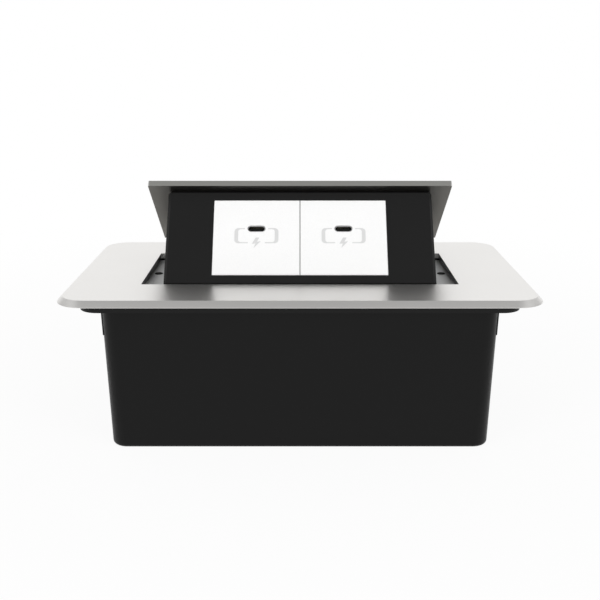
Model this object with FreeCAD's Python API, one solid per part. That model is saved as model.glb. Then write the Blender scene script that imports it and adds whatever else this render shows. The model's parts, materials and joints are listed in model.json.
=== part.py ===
import FreeCAD, Part
import math
import os

# Tilt-up desk power box: a satin faceplate over a drafted tub, and a sprung cassette with two
# USB-C modules that swings up through the plate's opening.
# Frame: origin under the middle of the tub, +Z up, +X right, +Y to the rear (hinge side).
# Depths are measured down from the plate's top. The cassette is drawn closed and then tilted.

V = FreeCAD.Vector
X_AXIS = V(1, 0, 0)

# ---------------------------------------------------------------- driving dimensions (mm, degrees)
# The module's face sets the cassette, the cassette sets the opening, and the housing grows from that.
MODULE_W = 45.0
MODULE_H = 42.6
MODULE_FIT = 0.05
CASE_CHEEK = 24.25          # cassette's black face beside the modules
CASE_BROW = 5.8             # and above and below them
CASE_WALL = 2.2
CASE_R = 2.0
CASE_FOOT_R = 1.5
BEZEL_T = 3.0
SIDE_ROOM = 10.75           # opening beside the cassette
OPEN_D = 68.0
OPEN_R = 0.6

PLATE_T = 3.0
PLATE_R = 15.0
PLATE_LIP_W = 10.7          # plate beyond the frame, at the sides and at front and rear
PLATE_LIP_D = 5.9
BEVEL_W = 2.6
BEVEL_H = 2.85

FRAME_T = 4.2
FRAME_R = 10.0
FRAME_LIP_W = 10.4          # frame beyond the tub
FRAME_LIP_D = 1.0
FRAME_SIDE_BACK = 1.0       # how far the frame's own opening stands back from the plate's
FRAME_FRONT_BACK = 3.5
FRAME_REAR_BACK = 1.0

TUB_DRAFT_W = 3.1           # how much narrower the tub is at its foot
TUB_DRAFT_D = 3.0
TUB_WALL = 2.0
TUB_FLOOR = 2.0
TUB_R = 8.0
TUB_FOOT_R = 2.0
TUB_SIDE_GAP = 2.6
TUB_BOSS_R = 4.2
TUB_BOSS_IN_X = 8.6
TUB_BOSS_IN_Y = 9.2
TUB_WEB_T = 1.6
LATCH_ROOM = 19.5           # under the closed cassette
PAD_WRAP = 2.5              # raised pads on the tub's sides: how far round its corners they reach
PAD_H = 13.2
PAD_PROUD = 0.5

LEDGE_DEPTH = 4.2
LEDGE_T = 5.0
LEDGE_FLANGE_T = 2.0
LEDGE_REACH = 12.0          # how far the ledge runs under the plate, to the side and at each end
LEDGE_END = 4.0
LEDGE_GAP = 0.5
LEDGE_HOLE_IN = 3.1
LEDGE_HOLE_Y = 3.5
LEDGE_HOLE_R = 1.7
LEDGE_NOTCH = 1.8
LEDGE_SCREW_IN_X = 5.0
LEDGE_SCREW_IN_Y = 6.0

TILT_OPEN = 37.34           # cassette's lean when it stands open
PIVOT_BACK = 18.3           # pivot behind the opening
PIVOT_DEPTH = 22.3
HINGE_GAP = 0.9

LID_SIDE_GAP = 0.6
LID_FRONT_GAP = 0.5
LID_REAR_GAP = 1.0
LID_T = 3.0
LID_R = 0.6
LID_REAR_LAND = 0.5
LID_REAR_CHAMFER = 3.0
LID_OVERHANG = 5.0
LID_TAIL = 10.0             # lid behind the cassette
LID_SCREW_IN_X = 13.25
LID_SCREW_FRONT = 17.5
LID_SCREW_REAR = 10.0
LID_SKIN = 0.8              # metal left over the lid's blind holes

PEG_R = 1.5
PEG_LEN = 6.0
PEG_BOSS_R = 3.2
PEG_BOSS_LEN = 10.0
PEG_BOSS_BITE = 0.4

COVER_T = 1.8
COVER_R = 0.5
COVER_EDGE = 0.25
MODULE_BODY_D = 28.7
MODULE_INSET = 0.7
MODULE_WALL = 1.2
RAIL_W = 2.0
PORT_UP = 26.1              # port centre above the module's lower edge
PORT_HOLE_W = 9.3
PORT_HOLE_H = 3.7
USB_W = 8.94
USB_H = 3.16
USB_WALL = 0.3
USB_LEN = 7.3
USB_RECESS = 0.3
TONGUE_W = 6.69
TONGUE_T = 0.7
TONGUE_LEN = 4.6
TONGUE_BASE = 1.6
BOARD_T = 1.6
BOARD_MARGIN = 0.6
TRANSFORMER = (15.0, 12.0, 10.0)
TRANSFORMER_R = 1.0
PART_GAP = 1.0
CAPACITOR_R = 3.0
CAPACITOR_H = 11.0
TERMINAL = (20.0, 8.0, 9.0)
TERMINAL_HOLE_R = 1.3
TERMINAL_HOLE_D = 5.0
TERMINAL_PITCH = 6.0

PIN_R = 1.5                 # hinge
RUN_FIT = 0.05
BUSH_WALL = 0.8
ARM_T = 4.0
ARM_INSET = 17.25           # arm's inner face in from the cassette's side
ARM_BOSS_R = 4.0
ARM_EDGE_UP = 3.3           # arm's straight upper edge above the pivot
ARM_EDGE_LEN = 18.3
ARM_ROOT_TOP = 24.5
ARM_ROOT_BOTTOM = 37.0
FOOT_T = 2.5
FOOT_W = 7.0
FOOT_SCREW_IN = 3.5
FOOT_SCREW_PITCH = 6.0
CHEEK_T = 3.0
CHEEK_GAP = 7.0
BRACKET_T = 2.0
BRACKET_FORE = 12.3         # bracket's ends, measured from the pivot
BRACKET_AFT = 3.7
BRACKET_INNER_GAP = 1.5
BRACKET_WING = 11.0
BRACKET_SCREW_OUT = 5.5
BRACKET_SCREW_FORE = (8.8, 0.3)
PIN_HEAD_R = 2.5
PIN_HEAD_T = 1.2
PIN_TAIL = 1.2
STOP_REACH = 12.3           # stop sleeve's place along the arm, measured from the pivot
STOP_PIN_R = 1.2
STOP_SLEEVE_R = 2.0
STOP_GAP = 0.04
COIL_R = 2.6
COIL_WIRE_R = 0.4
COIL_TURNS = 5
COIL_LEG = 12.0

DAMPER_X = 20.0
DAMPER_LEN = 14.0
DAMPER_R = 4.2
DAMPER_END = 1.5
DAMPER_NECK = 7.0
DAMPER_FORE = 11.3
DAMPER_LIP = 1.0
DAMPER_SCREW_FORE = 7.8
DAMPER_ARM_GAP = 2.0
DAMPER_SHAFT_GAP = 0.5
DAMPER_KEY = 2.1

LATCH_BACK = 14.5           # latch behind the cassette's face
LATCH_W = 18.0
LATCH_D = 11.0
LATCH_EAR_W = 7.0
LATCH_EAR_T = 2.5
LATCH_EAR_PAD = 3.0
PLUNGER_OUT = 3.6
PLUNGER_W = 8.0
PLUNGER_D = 6.0
PLUNGER_COLLAR_W = 11.0
PLUNGER_COLLAR_H = 5.0
PLUNGER_ROOF = 2.0          # thickness of the latch body's top
PLUNGER_CROWN = 2.0         # and of the plunger's
PLUNGER_EDGE_R = 0.8
PLUNGER_FIT = 0.08
PLUNGER_BORE_R = 2.2
LATCH_COIL_R = 1.6
LATCH_WIRE_R = 0.25
LATCH_TURNS = 6
STRIKER_W = 12.0
STRIKER_D = 9.0
STRIKER_H = 3.2
STRIKER_GAP = 0.3
STRIKER_R = 1.0

INLET_IN = 37.1
INLET_UP = 22.0
INLET_W = 27.0
INLET_H = 20.0
INLET_LEN = 19.0
INLET_RIM = 2.2
INLET_RIM_T = 2.0
INLET_CAVITY_W = 24.4
INLET_CAVITY_H = 16.8
INLET_CAVITY_D = 16.0
INLET_CORNER = 4.5
INLET_FIT = 0.1
BLADE_W = 2.0
BLADE_H = 4.0
BLADE_LEN = 13.0
BLADE_TAIL = 10.0
BLADE_PITCH = 7.0
BLADE_EARTH_DROP = 2.0

GROMMET_X = -30.0
GROMMET_DEPTH = 48.0
GROMMET_R = 4.0
GROMMET_RIM = 1.5
GROMMET_RIM_T = 1.4
GROMMET_BORE_R = 2.8

SCREW_R = 1.5
SCREW_HEAD_R = 2.9
SCREW_HEAD_T = 1.7
SCREW_FIT = 0.15
DRIVE_R = 1.0
DRIVE_DEPTH = 0.9
TUB_SCREW_LEN = 10.0
LEDGE_SCREW_SKIN = 1.2
STUD_IN_Y = 18.2
STUD_OUT = 3.4              # stud's end below the frame
NUT_AF = 5.5
NUT_T = 2.4

# ---------------------------------------------------------------- derived sizes and places
CASE_W = 2 * (MODULE_W + CASE_CHEEK)
CASE_H = MODULE_H + 2 * CASE_BROW
OPEN_W = CASE_W + 2 * SIDE_ROOM
LID_W = OPEN_W - 2 * LID_SIDE_GAP
PIVOT_Y = OPEN_D / 2 + PIVOT_BACK
LEDGE_OUT = OPEN_W / 2 + LEDGE_REACH
TUB_TOP_W = 2 * (LEDGE_OUT + TUB_SIDE_GAP + TUB_WALL)
TUB_TOP_D = 2 * (PIVOT_Y + ARM_BOSS_R + HINGE_GAP + TUB_WALL)
INLET_X = -(TUB_TOP_W / 2 - INLET_IN)
FRAME_W = TUB_TOP_W + 2 * FRAME_LIP_W
FRAME_D = TUB_TOP_D + 2 * FRAME_LIP_D
PLATE_W = FRAME_W + 2 * PLATE_LIP_W
PLATE_D = FRAME_D + 2 * PLATE_LIP_D

PLATE_TOP = LID_T + CASE_H + LATCH_ROOM + TUB_FLOOR
PLATE_BOTTOM = PLATE_TOP - PLATE_T
FRAME_BOTTOM = PLATE_BOTTOM - FRAME_T
PIVOT_Z = PLATE_TOP - PIVOT_DEPTH
PIVOT = V(0, PIVOT_Y, PIVOT_Z)
LID_FRONT = -OPEN_D / 2 + LID_FRONT_GAP
LID_REAR = OPEN_D / 2 - LID_REAR_GAP
LID_BOTTOM = PLATE_TOP - LID_T
CASE_FRONT = LID_FRONT + LID_OVERHANG
CASE_REAR_Y = LID_REAR - LID_TAIL
CASE_TOP = LID_BOTTOM
CASE_BOTTOM = CASE_TOP - CASE_H
SHELL_FRONT = CASE_FRONT + BEZEL_T
WINDOW_TOP = CASE_TOP - CASE_BROW
WINDOW_BOTTOM = WINDOW_TOP - MODULE_H
PORT_Z = WINDOW_BOTTOM + PORT_UP
COVER_BACK = CASE_FRONT + COVER_T
BODY_BACK = COVER_BACK + MODULE_BODY_D
BOARD_TOP = PORT_Z - USB_H / 2
ARM_IN = CASE_W / 2 - ARM_INSET
CHEEK_IN = ARM_IN + ARM_T + CHEEK_GAP
CHEEK_OUT = CHEEK_IN + CHEEK_T
BRACKET_FRONT = PIVOT_Y - BRACKET_FORE
BRACKET_REAR = PIVOT_Y + BRACKET_AFT
BRACKET_BOTTOM = FRAME_BOTTOM - BRACKET_T
DAMPER_ARM_IN = DAMPER_X - DAMPER_ARM_GAP - ARM_T
LATCH_Y = CASE_FRONT + LATCH_BACK
STRIKER_TIP = CASE_BOTTOM - STRIKER_H
PLUNGER_TOP = STRIKER_TIP - STRIKER_GAP
LATCH_TOP = PLUNGER_TOP - PLUNGER_OUT
COLLAR_TOP = LATCH_TOP - PLUNGER_ROOF - PLUNGER_FIT
SIDES = {"left": -1, "right": 1}


# ---------------------------------------------------------------- small helpers
def box(x0, x1, y0, y1, z0, z1):
    low = V(min(x0, x1), min(y0, y1), min(z0, z1))
    return Part.makeBox(abs(x1 - x0), abs(y1 - y0), abs(z1 - z0), low)


def rod(start, end, radius):
    axis = end - start
    return Part.makeCylinder(radius, axis.Length, start, axis)


def rod_x(x0, x1, y, z, radius):
    return rod(V(x0, y, z), V(x1, y, z), radius)


def rod_y(x, y0, y1, z, radius):
    return rod(V(x, y0, z), V(x, y1, z), radius)


def rod_z(x, y, z0, z1, radius):
    return rod(V(x, y, z0), V(x, y, z1), radius)


def rounded_wire(width, depth, radius, z):
    """Closed rectangle with rounded corners, level, centred on the Z axis."""
    half_x = width / 2 - radius
    half_y = depth / 2 - radius
    slant = radius * math.sqrt(0.5)
    edges = []
    last = None
    first = None
    for step, (sx, sy) in enumerate([(1, 1), (-1, 1), (-1, -1), (1, -1)]):
        centre = V(sx * half_x, sy * half_y, z)
        across = V(sx * radius, 0, 0)
        along = V(0, sy * radius, 0)
        start, end = (across, along) if step % 2 == 0 else (along, across)
        start = centre + start
        end = centre + end
        middle = centre + V(sx * slant, sy * slant, 0)
        if last is None:
            first = start
        else:
            edges.append(Part.LineSegment(last, start).toShape())
        edges.append(Part.Arc(start, middle, end).toShape())
        last = end
    edges.append(Part.LineSegment(last, first).toShape())
    return Part.Wire(edges)


def rounded_slab(width, depth, radius, z0, z1):
    face = Part.Face(rounded_wire(width, depth, radius, z0))
    return face.extrude(V(0, 0, z1 - z0))


def rounded_loft(low, high):
    """Solid between two rounded rectangles, each given as (width, depth, radius, z)."""
    return Part.makeLoft([rounded_wire(*low), rounded_wire(*high)], True, True)


def prism_x(points, x0, x1):
    """Closed profile of (y, z) points, drawn out from x0 to x1."""
    corners = [V(x0, y, z) for y, z in points]
    face = Part.Face(Part.makePolygon(corners + corners[:1]))
    return face.extrude(V(x1 - x0, 0, 0))


def slot_y(width, height, x, y0, y1, z):
    """Bar along Y with a slot-shaped section, full half-round ends."""
    radius = height / 2
    reach = width / 2 - radius
    middle = box(x - reach, x + reach, y0, y1, z - radius, z + radius)
    ends = [rod_y(x + side * reach, y0, y1, z, radius) for side in (-1, 1)]
    return middle.multiFuse(ends).removeSplitter()


def edges_along(shape, direction, keep=None):
    found = []
    for edge in shape.Edges:
        if len(edge.Vertexes) != 2:
            continue
        run = edge.Vertexes[1].Point - edge.Vertexes[0].Point
        if run.cross(direction).Length > 1e-6:
            continue
        if keep is None or keep(edge.CenterOfMass):
            found.append(edge)
    return found


def all_of(solids):
    return Part.makeCompound(solids)


def tilted(shape):
    """The closed cassette's piece, swung up to where it stands open."""
    copy = shape.copy()
    copy.rotate(PIVOT, X_AXIS, -TILT_OPEN)
    return copy


def screw(head, direction, length, countersunk):
    """Screw whose head's outer face is centred on head, with its shank along direction."""
    direction = V(direction)
    direction.normalize()
    seat = head + direction * SCREW_HEAD_T
    if countersunk:
        top = Part.makeCone(SCREW_HEAD_R, SCREW_R, SCREW_HEAD_T, head, direction)
    else:
        top = Part.makeCylinder(SCREW_HEAD_R, SCREW_HEAD_T, head, direction)
    shank = rod(seat, seat + direction * length, SCREW_R)
    drive = Part.makeCylinder(DRIVE_R, DRIVE_DEPTH, head, direction)
    return top.fuse(shank).removeSplitter().cut(drive)


def screw_hole(head, direction, length, countersunk):
    """Clearance hole, with a countersink where the head is sunk."""
    direction = V(direction)
    direction.normalize()
    hole = rod(head, head + direction * (SCREW_HEAD_T + length), SCREW_R + SCREW_FIT)
    if not countersunk:
        return hole
    sink = Part.makeCone(SCREW_HEAD_R, SCREW_R, SCREW_HEAD_T, head, direction)
    return hole.fuse(sink)


def coil(start, axis, radius, wire_radius, turns, length):
    """Helical spring wire round an axis that starts at start."""
    helix = Part.makeHelix(length / turns, length, radius)
    section = Part.Wire([Part.makeCircle(wire_radius, V(radius, 0, 0), V(0, 1, 0))])
    wire = Part.Wire(helix).makePipeShell([section], True, True)
    turn = FreeCAD.Rotation(V(0, 0, 1), V(axis))
    wire.Placement = FreeCAD.Placement(V(start), turn)
    return wire


# ---------------------------------------------------------------- fastener places
DOWN = V(0, 0, -1)
UP = V(0, 0, 1)
FORWARD = V(0, -1, 0)

TUB_SCREWS = [V(sx * (TUB_TOP_W / 2 - TUB_BOSS_IN_X), sy * (TUB_TOP_D / 2 - TUB_BOSS_IN_Y), PLATE_BOTTOM)
              for sx in (-1, 1) for sy in (-1, 1)]
BRACKET_SCREWS = [V(sx * (CHEEK_OUT + BRACKET_SCREW_OUT), PIVOT_Y - fore, PLATE_BOTTOM)
                  for sx in (-1, 1) for fore in BRACKET_SCREW_FORE]
BRACKET_SCREW_LEN = FRAME_T + BRACKET_T - SCREW_HEAD_T
DAMPER_SCREWS = [V(x, PIVOT_Y - DAMPER_SCREW_FORE, PLATE_BOTTOM)
                 for x in (DAMPER_X + SCREW_HEAD_R, DAMPER_X + DAMPER_LEN - SCREW_HEAD_R)]
LEDGE_SCREWS = [V(sx * (LEDGE_OUT - LEDGE_SCREW_IN_X), sy * (OPEN_D / 2 - LEDGE_SCREW_IN_Y),
                  FRAME_BOTTOM - LEDGE_FLANGE_T - SCREW_HEAD_T) for sx in (-1, 1) for sy in (-1, 1)]
LEDGE_SCREW_LEN = LEDGE_FLANGE_T + FRAME_T - LEDGE_SCREW_SKIN
STUDS = [(sx * (TUB_TOP_W + FRAME_W) / 4, sy * (FRAME_D / 2 - STUD_IN_Y)) for sx in (-1, 1) for sy in (-1, 1)]
LATCH_EAR_Z = TUB_FLOOR + LATCH_EAR_PAD + LATCH_EAR_T
LATCH_SCREWS = [V(sx * (LATCH_W + LATCH_EAR_W) / 2, LATCH_Y, LATCH_EAR_Z + SCREW_HEAD_T) for sx in (-1, 1)]
LATCH_SCREW_LEN = LATCH_EAR_T + LATCH_EAR_PAD
LID_SCREWS = [V(sx * (CASE_W / 2 - LID_SCREW_IN_X), y, CASE_TOP - CASE_WALL)
              for sx in (-1, 1) for y in (LID_FRONT + LID_SCREW_FRONT, CASE_REAR_Y - LID_SCREW_REAR)]
LID_SCREW_LEN = CASE_WALL + LID_T - SCREW_HEAD_T - LID_SKIN


def arm_screw_heads(inner):
    """Heads of the two screws through the foot beside an arm whose inner face is at inner."""
    side = 1 if inner > 0 else -1
    x = inner - side * FOOT_SCREW_IN
    low = PLATE_TOP - ARM_ROOT_BOTTOM + (ARM_ROOT_BOTTOM - ARM_ROOT_TOP - FOOT_SCREW_PITCH) / 2
    y = CASE_REAR_Y + FOOT_T + SCREW_HEAD_T
    return [V(x, y, low), V(x, y, low + FOOT_SCREW_PITCH)]


ARM_INNER_FACES = [-ARM_IN, ARM_IN, DAMPER_ARM_IN]
ARM_SCREWS = [head for inner in ARM_INNER_FACES for head in arm_screw_heads(inner)]
ARM_SCREW_LEN = FOOT_T + CASE_WALL


# ---------------------------------------------------------------- fixed housing
def faceplate():
    edge_z = PLATE_TOP - BEVEL_H
    rim = rounded_slab(PLATE_W, PLATE_D, PLATE_R, PLATE_BOTTOM, edge_z)
    top = rounded_loft((PLATE_W, PLATE_D, PLATE_R, edge_z),
                       (PLATE_W - 2 * BEVEL_W, PLATE_D - 2 * BEVEL_W, PLATE_R - BEVEL_W, PLATE_TOP))
    opening = rounded_slab(OPEN_W, OPEN_D, OPEN_R, PLATE_BOTTOM - 1, PLATE_TOP + 1)
    return rim.fuse(top).removeSplitter().cut(opening)


def mounting_frame():
    slab = rounded_slab(FRAME_W, FRAME_D, FRAME_R, FRAME_BOTTOM, PLATE_BOTTOM)
    half = OPEN_W / 2 + FRAME_SIDE_BACK
    opening = box(-half, half, -OPEN_D / 2 - FRAME_FRONT_BACK, OPEN_D / 2 + FRAME_REAR_BACK,
                  FRAME_BOTTOM - 1, PLATE_BOTTOM + 1)
    cuts = [opening]
    cuts += [screw_hole(p, DOWN, FRAME_T, True) for p in TUB_SCREWS + BRACKET_SCREWS + DAMPER_SCREWS]
    cuts += [rod(p, p + UP * (SCREW_HEAD_T + LEDGE_SCREW_LEN), SCREW_R) for p in LEDGE_SCREWS]
    cuts += [rod_z(x, y, FRAME_BOTTOM, PLATE_BOTTOM, SCREW_R + SCREW_FIT) for x, y in STUDS]
    return slab.cut(all_of(cuts))


def faceplate_studs():
    return all_of([rod_z(x, y, FRAME_BOTTOM - STUD_OUT, PLATE_BOTTOM, SCREW_R) for x, y in STUDS])


def stud_nuts():
    nuts = []
    for x, y in STUDS:
        corners = [V(x, y, FRAME_BOTTOM - NUT_T) + FreeCAD.Rotation(UP, 60 * i).multVec(
            V(NUT_AF / math.sqrt(3), 0, 0)) for i in range(6)]
        hexagon = Part.Face(Part.makePolygon(corners + corners[:1])).extrude(V(0, 0, NUT_T))
        nuts.append(hexagon.cut(rod_z(x, y, FRAME_BOTTOM - NUT_T, FRAME_BOTTOM, SCREW_R)))
    return all_of(nuts)


def side_ledge(side):
    inner = side * (CASE_W / 2 + LEDGE_GAP)
    step = side * (OPEN_W / 2 + FRAME_SIDE_BACK - MODULE_FIT)
    outer = side * LEDGE_OUT
    end = OPEN_D / 2 + LEDGE_END
    top = PLATE_TOP - LEDGE_DEPTH
    inner_end = OPEN_D / 2 + FRAME_REAR_BACK - MODULE_FIT
    shelf = box(inner, step, -inner_end, inner_end, top - LEDGE_T, top)
    flange = box(inner, outer, -end, end, FRAME_BOTTOM - LEDGE_FLANGE_T, FRAME_BOTTOM)
    ledge = shelf.fuse(flange).removeSplitter()
    corner = -OPEN_D / 2
    notch = box(inner, inner + side * LEDGE_NOTCH, corner, corner + LEDGE_NOTCH, 0, PLATE_TOP)
    cuts = [notch, rod_z(side * (OPEN_W / 2 - LEDGE_HOLE_IN), LEDGE_HOLE_Y, 0, PLATE_TOP, LEDGE_HOLE_R)]
    cuts += [screw_hole(p, UP, LEDGE_FLANGE_T, False) for p in LEDGE_SCREWS]
    return ledge.cut(all_of(cuts))


def tub_rear_at(z):
    return TUB_TOP_D / 2 - TUB_DRAFT_D / 2 * (FRAME_BOTTOM - z) / FRAME_BOTTOM


def side_pads(inside):
    """Raised pads under the frame on both side walls, with the walls' own draft."""
    drop = PAD_H / FRAME_BOTTOM
    low = (TUB_TOP_W - TUB_DRAFT_W * drop + 2 * PAD_PROUD, TUB_TOP_D - TUB_DRAFT_D * drop, TUB_R,
           FRAME_BOTTOM - PAD_H)
    high = (TUB_TOP_W + 2 * PAD_PROUD, TUB_TOP_D, TUB_R, FRAME_BOTTOM)
    reach = TUB_TOP_D / 2 - TUB_R + PAD_WRAP
    band = box(-PLATE_W, PLATE_W, -reach, reach, 0, PLATE_TOP)
    return rounded_loft(low, high).common(band).cut(inside)


def tub():
    foot = (TUB_TOP_W - TUB_DRAFT_W, TUB_TOP_D - TUB_DRAFT_D, TUB_R, 0)
    rim = (TUB_TOP_W, TUB_TOP_D, TUB_R, FRAME_BOTTOM)
    outside = rounded_loft(foot, rim)
    foot_edges = [e for e in outside.Edges if e.BoundBox.ZMax < 1e-3]
    outside = outside.makeFillet(TUB_FOOT_R, foot_edges)
    inside = rounded_loft((foot[0] - 2 * TUB_WALL, foot[1] - 2 * TUB_WALL, TUB_R - TUB_WALL, TUB_FLOOR),
                          (rim[0] - 2 * TUB_WALL, rim[1] - 2 * TUB_WALL, TUB_R - TUB_WALL, FRAME_BOTTOM))
    shell = outside.cut(inside)
    bosses = [rod_z(p.x, p.y, TUB_FLOOR, FRAME_BOTTOM, TUB_BOSS_R) for p in TUB_SCREWS]
    webs = [box(p.x, math.copysign(TUB_TOP_W / 2 - TUB_WALL, p.x), p.y - TUB_WEB_T / 2, p.y + TUB_WEB_T / 2,
                TUB_FLOOR, FRAME_BOTTOM) for p in TUB_SCREWS]
    pads_in = [rod_z(p.x, p.y, TUB_FLOOR, TUB_FLOOR + LATCH_EAR_PAD, LATCH_EAR_W / 2)
               for p in LATCH_SCREWS]
    shell = shell.multiFuse([piece.common(outside) for piece in bosses + webs + pads_in])
    shell = shell.fuse(side_pads(inside)).removeSplitter()
    cuts = [rod(p, p + DOWN * (SCREW_HEAD_T + TUB_SCREW_LEN), SCREW_R) for p in TUB_SCREWS]
    cuts += [rod(p, p + DOWN * (SCREW_HEAD_T + LATCH_SCREW_LEN), SCREW_R) for p in LATCH_SCREWS]
    half_w = INLET_W / 2 + INLET_FIT
    half_h = INLET_H / 2 + INLET_FIT
    cuts.append(box(INLET_X - half_w, INLET_X + half_w, PIVOT_Y, TUB_TOP_D / 2 + 1,
                    INLET_UP - half_h, INLET_UP + half_h))
    return shell.cut(all_of(cuts))


def hinge_bracket(side):
    inner = side * CHEEK_IN
    outer = side * CHEEK_OUT
    near = side * (ARM_IN + ARM_T + BRACKET_INNER_GAP)
    far = side * (CHEEK_OUT + BRACKET_WING)
    base = box(near, far, BRACKET_FRONT, BRACKET_REAR, BRACKET_BOTTOM, FRAME_BOTTOM)
    profile = [(BRACKET_FRONT, BRACKET_BOTTOM), (BRACKET_REAR, BRACKET_BOTTOM),
               (BRACKET_REAR, PIVOT_Z), (PIVOT_Y - ARM_BOSS_R, PIVOT_Z)]
    cheek = prism_x(profile, inner, outer)
    eye = rod_x(inner, outer, PIVOT_Y, PIVOT_Z, BRACKET_AFT)
    bracket = base.multiFuse([cheek, eye]).removeSplitter()
    stop = stop_centre()
    cuts = [rod_x(inner, outer, PIVOT_Y, PIVOT_Z, PIN_R), rod_x(inner, outer, stop.y, stop.z, STOP_PIN_R)]
    cuts += [rod(p, p + DOWN * (SCREW_HEAD_T + BRACKET_SCREW_LEN), SCREW_R) for p in BRACKET_SCREWS]
    return bracket.cut(all_of(cuts))


def hinge_pin(side):
    shank = rod_x(side * (ARM_IN - PIN_TAIL), side * CHEEK_OUT, PIVOT_Y, PIVOT_Z, PIN_R)
    head = rod_x(side * CHEEK_OUT, side * (CHEEK_OUT + PIN_HEAD_T), PIVOT_Y, PIVOT_Z, PIN_HEAD_R)
    return shank.fuse(head).removeSplitter()


def stop_centre():
    """Where the stop stands so that the open arm's upper edge comes to rest against it."""
    rise = ARM_EDGE_UP + STOP_SLEEVE_R + STOP_GAP
    lean = FreeCAD.Rotation(X_AXIS, -TILT_OPEN)
    return PIVOT + lean.multVec(V(0, -STOP_REACH, rise))


def stop_pin(side):
    centre = stop_centre()
    return rod_x(side * ARM_IN, side * CHEEK_OUT, centre.y, centre.z, STOP_PIN_R)


def stop_sleeve(side):
    centre = stop_centre()
    ends = (side * ARM_IN, side * (ARM_IN + ARM_T))
    tube = rod_x(*ends, centre.y, centre.z, STOP_SLEEVE_R)
    return tube.cut(rod_x(*ends, centre.y, centre.z, STOP_PIN_R))


def torsion_spring(side):
    """Coil round the hinge pin: one leg up to the bracket, the other along the open arm."""
    start_x = ARM_IN + ARM_T + 2 * COIL_WIRE_R
    end_x = CHEEK_IN - 2 * COIL_WIRE_R
    turns = COIL_TURNS + (90 + TILT_OPEN) / 360
    lean = FreeCAD.Rotation(X_AXIS, -TILT_OPEN)
    wire = coil(V(start_x, PIVOT_Y, PIVOT_Z), (1, 0, 0), COIL_R, COIL_WIRE_R, turns, end_x - start_x)
    wire.rotate(PIVOT, X_AXIS, -TILT_OPEN)
    arm_end = V(start_x, PIVOT_Y, PIVOT_Z) + lean.multVec(V(0, 0, -COIL_R))
    arm_leg = rod(arm_end, arm_end + lean.multVec(V(0, -COIL_LEG, 0)), COIL_WIRE_R)
    bracket_leg = rod_z(end_x, PIVOT_Y + COIL_R, PIVOT_Z, BRACKET_BOTTOM, COIL_WIRE_R)
    bracket_end = V(end_x, PIVOT_Y + COIL_R, PIVOT_Z)
    elbows = [Part.makeSphere(COIL_WIRE_R, end) for end in (arm_end, bracket_end)]
    spring = wire.multiFuse([arm_leg, bracket_leg] + elbows)
    return spring if side > 0 else spring.mirror(V(0, 0, 0), X_AXIS)


def bracket_screws():
    return all_of([screw(p, DOWN, BRACKET_SCREW_LEN, True) for p in BRACKET_SCREWS])


def tub_screws():
    return all_of([screw(p, DOWN, TUB_SCREW_LEN, True) for p in TUB_SCREWS])


def ledge_screws():
    return all_of([screw(p, UP, LEDGE_SCREW_LEN, False) for p in LEDGE_SCREWS])


def damper_barrel():
    end = DAMPER_X + DAMPER_LEN
    barrel = rod_x(DAMPER_X, end, PIVOT_Y, PIVOT_Z, DAMPER_R)
    neck = box(DAMPER_X, end, PIVOT_Y - DAMPER_NECK / 2, PIVOT_Y + DAMPER_NECK / 2, PIVOT_Z, FRAME_BOTTOM)
    base = box(DAMPER_X - DAMPER_LIP, end + DAMPER_LIP, PIVOT_Y - DAMPER_FORE, BRACKET_REAR,
               BRACKET_BOTTOM, FRAME_BOTTOM)
    bore = rod_x(DAMPER_X, end - DAMPER_END, PIVOT_Y, PIVOT_Z, PIN_R + RUN_FIT)
    cuts = [bore] + [rod(p, p + DOWN * (SCREW_HEAD_T + BRACKET_SCREW_LEN), SCREW_R) for p in DAMPER_SCREWS]
    return barrel.multiFuse([neck, base]).removeSplitter().cut(all_of(cuts))


def damper_screws():
    return all_of([screw(p, DOWN, BRACKET_SCREW_LEN, True) for p in DAMPER_SCREWS])


def latch_body():
    block = box(-LATCH_W / 2, LATCH_W / 2, LATCH_Y - LATCH_D / 2, LATCH_Y + LATCH_D / 2, TUB_FLOOR, LATCH_TOP)
    ears = box(-LATCH_W / 2 - LATCH_EAR_W, LATCH_W / 2 + LATCH_EAR_W,
               LATCH_Y - LATCH_EAR_W / 2, LATCH_Y + LATCH_EAR_W / 2, LATCH_EAR_Z - LATCH_EAR_T, LATCH_EAR_Z)
    ways = []
    for width, low, high in ((PLUNGER_W, TUB_FLOOR, LATCH_TOP),
                             (PLUNGER_COLLAR_W, TUB_FLOOR, LATCH_TOP - PLUNGER_ROOF)):
        half_w = width / 2 + PLUNGER_FIT
        half_d = PLUNGER_D / 2 + PLUNGER_FIT
        ways.append(box(-half_w, half_w, LATCH_Y - half_d, LATCH_Y + half_d, low, high))
    holes = [screw_hole(p, DOWN, LATCH_SCREW_LEN, False) for p in LATCH_SCREWS]
    return block.fuse(ears).removeSplitter().cut(all_of(ways + holes))


def latch_plunger():
    low = COLLAR_TOP - PLUNGER_COLLAR_H
    parts = []
    for width, top in ((PLUNGER_W, PLUNGER_TOP), (PLUNGER_COLLAR_W, COLLAR_TOP)):
        parts.append(box(-width / 2, width / 2, LATCH_Y - PLUNGER_D / 2, LATCH_Y + PLUNGER_D / 2, low, top))
    crown = edges_along(parts[0], V(0, 1, 0), lambda c: c.z > PLUNGER_TOP - 0.1)
    stem = parts[0].makeFillet(PLUNGER_EDGE_R, crown)
    bore = rod_z(0, LATCH_Y, low, PLUNGER_TOP - PLUNGER_CROWN, PLUNGER_BORE_R)
    return stem.fuse(parts[1]).removeSplitter().cut(bore)


def latch_spring():
    low = TUB_FLOOR + LATCH_WIRE_R
    length = PLUNGER_TOP - PLUNGER_CROWN - LATCH_WIRE_R - low
    return coil(V(0, LATCH_Y, low), (0, 0, 1), LATCH_COIL_R, LATCH_WIRE_R, LATCH_TURNS, length)


def latch_screws():
    return all_of([screw(p, DOWN, LATCH_SCREW_LEN, False) for p in LATCH_SCREWS])


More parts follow.
